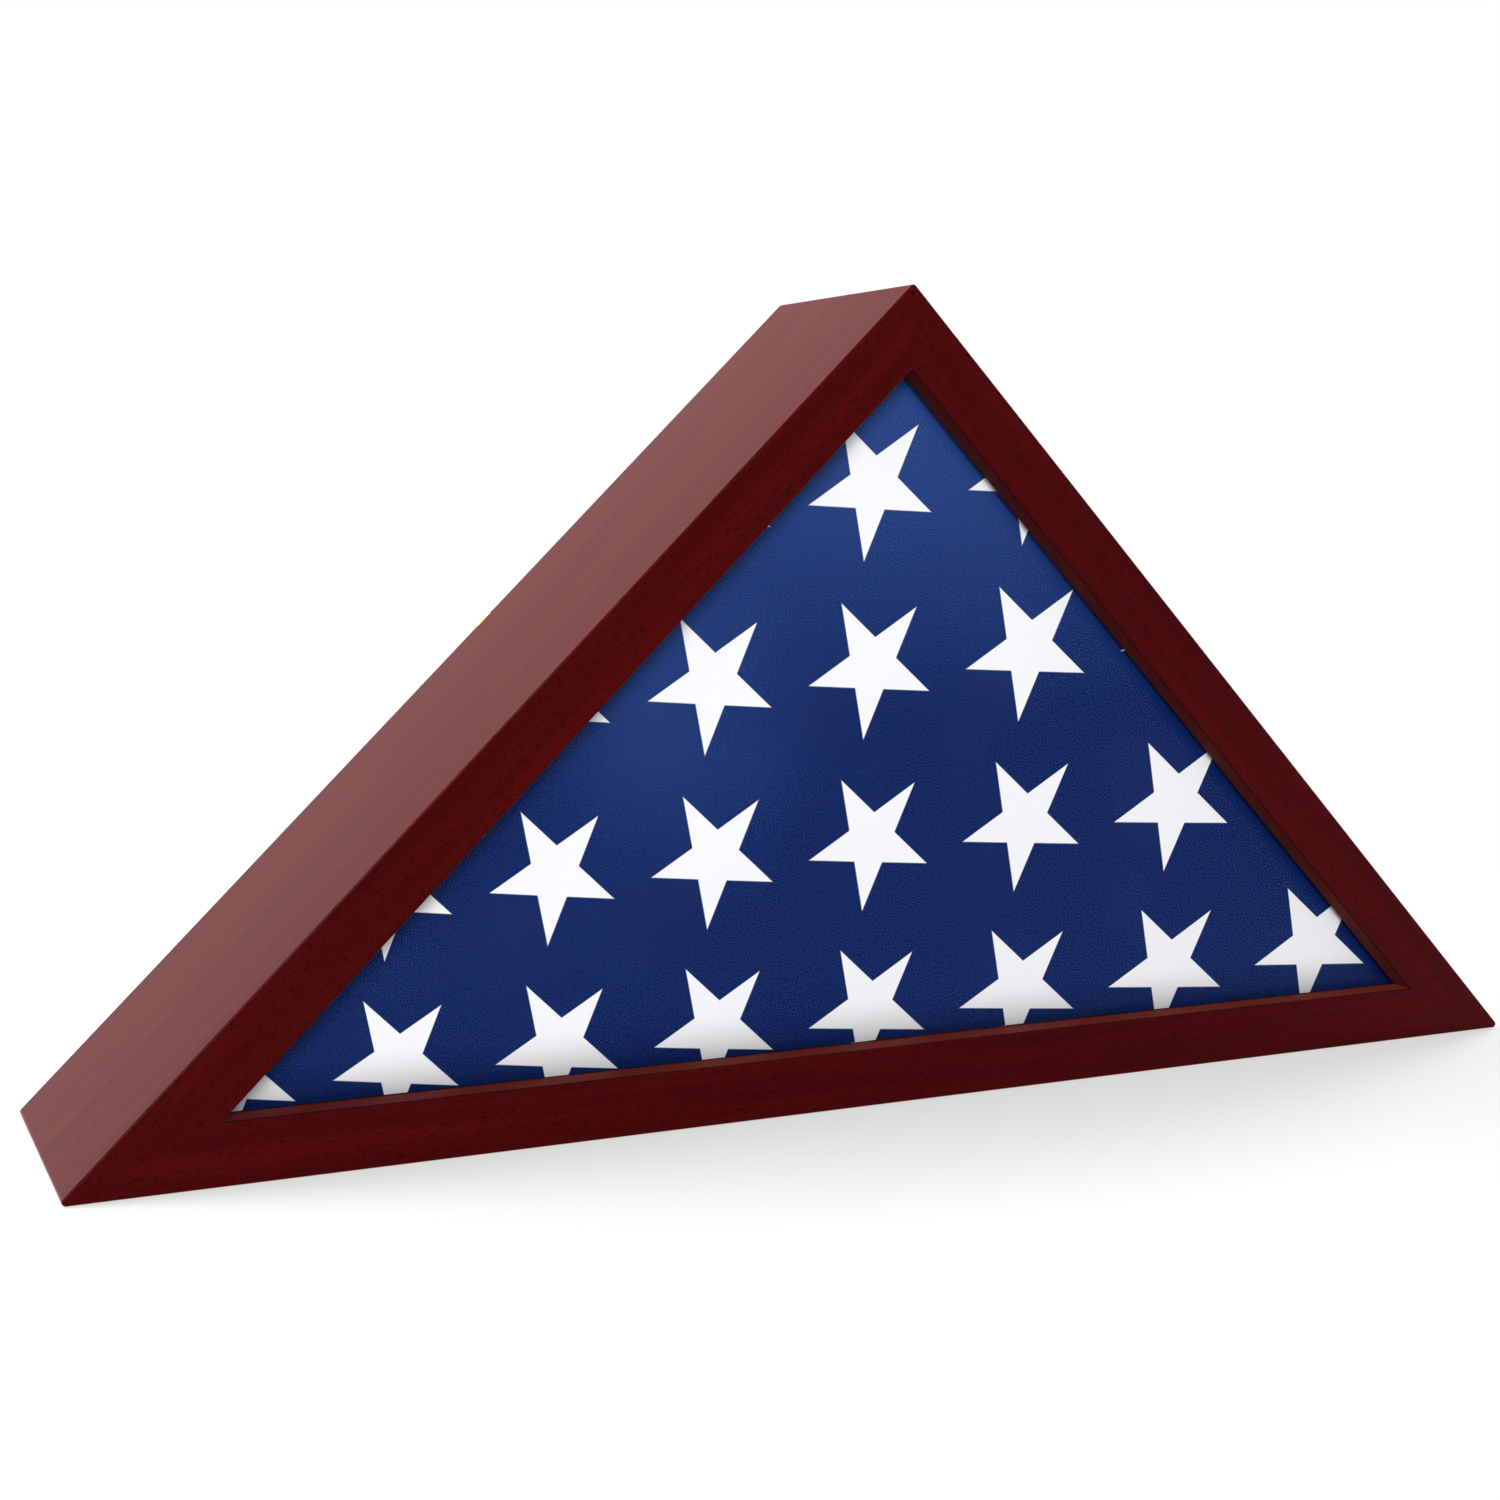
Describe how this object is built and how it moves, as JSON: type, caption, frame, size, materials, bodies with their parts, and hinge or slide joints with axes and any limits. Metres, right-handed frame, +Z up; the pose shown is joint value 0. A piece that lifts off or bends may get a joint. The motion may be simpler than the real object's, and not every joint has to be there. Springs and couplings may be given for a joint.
{
  "type": "folded flag display case",
  "caption": "Triangular wooden shadow box with a glass front that holds a folded flag, with a lift-out back panel held by turn buttons and ring hangers for a wall.",
  "frame": {"origin": "middle of the underside of the base rail, halfway between the front and rear wood faces", "axes": "+X to the viewer's right along the base, +Y to the rear, +Z up; the glass faces -Y"},
  "size_m": [0.6358, 0.1184, 0.3194],
  "materials": {
    "mahogany": "satin mahogany-stained lacquer",
    "liner_wood": "stained, unlacquered",
    "glass": "anti-reflective float glass",
    "flag_cloth": "woven satin-faced cloth, blue with white stars",
    "hardboard": "smooth brown hardboard",
    "bare_steel": "bare spring steel",
    "zinc_steel": "zinc-plated steel",
    "brass_plate": "brass-plated steel"
  },
  "bodies": {
    "case": {"left_rail": "mahogany", "right_rail": "mahogany", "base_rail": "mahogany", "left_liner": "liner_wood", "right_liner": "liner_wood", "base_liner": "liner_wood", "glass_pane": "glass", "folded_flag": "flag_cloth", "mitre_v_nails": "bare_steel", "turn_button_screws": "zinc_steel", "hanger_strap_left": "brass_plate", "hanger_strap_right": "brass_plate", "hanger_screws": "zinc_steel"},
    "back": {"back_panel": "hardboard"},
    "button_left_low": {"turn_button_left_low": "brass_plate"},
    "button_left_high": {"turn_button_left_high": "brass_plate"},
    "button_right_low": {"turn_button_right_low": "brass_plate"},
    "button_right_high": {"turn_button_right_high": "brass_plate"},
    "button_base_left": {"turn_button_base_left": "brass_plate"},
    "button_base_right": {"turn_button_base_right": "brass_plate"},
    "ring_left": {"hanger_ring_left": "brass_plate"},
    "ring_right": {"hanger_ring_right": "brass_plate"}
  },
  "joints": [
    {"name": "back_panel_lift", "type": "slide", "parent": "case", "child": "back", "axis": [0, 1, 0], "range_m": [0, 0.12]},
    {"name": "button_left_low_turn", "type": "hinge", "parent": "case", "child": "button_left_low", "pos_m": [-0.23691, 0.057, 0.07248], "axis": [0, 1, 0], "range_deg": [0, 90]},
    {"name": "button_left_high_turn", "type": "hinge", "parent": "case", "child": "button_left_high", "pos_m": [-0.05303, 0.057, 0.25636], "axis": [0, 1, 0], "range_deg": [0, 90]},
    {"name": "button_right_low_turn", "type": "hinge", "parent": "case", "child": "button_right_low", "pos_m": [0.23691, 0.057, 0.07248], "axis": [0, -1, 0], "range_deg": [0, 90]},
    {"name": "button_right_high_turn", "type": "hinge", "parent": "case", "child": "button_right_high", "pos_m": [0.05303, 0.057, 0.25636], "axis": [0, -1, 0], "range_deg": [0, 90]},
    {"name": "button_base_left_turn", "type": "hinge", "parent": "case", "child": "button_base_left", "pos_m": [-0.16, 0.057, 0.0075], "axis": [0, 1, 0], "range_deg": [0, 90]},
    {"name": "button_base_right_turn", "type": "hinge", "parent": "case", "child": "button_base_right", "pos_m": [0.16, 0.057, 0.0075], "axis": [0, -1, 0], "range_deg": [0, 90]},
    {"name": "ring_left_swing", "type": "hinge", "parent": "case", "child": "ring_left", "pos_m": [-0.12374, 0.0593, 0.18565], "axis": [0.7071, 0, -0.7071], "range_deg": [0, 180]},
    {"name": "ring_right_swing", "type": "hinge", "parent": "case", "child": "ring_right", "pos_m": [0.12374, 0.0593, 0.18565], "axis": [0.7071, 0, 0.7071], "range_deg": [0, 180]}
  ]
}
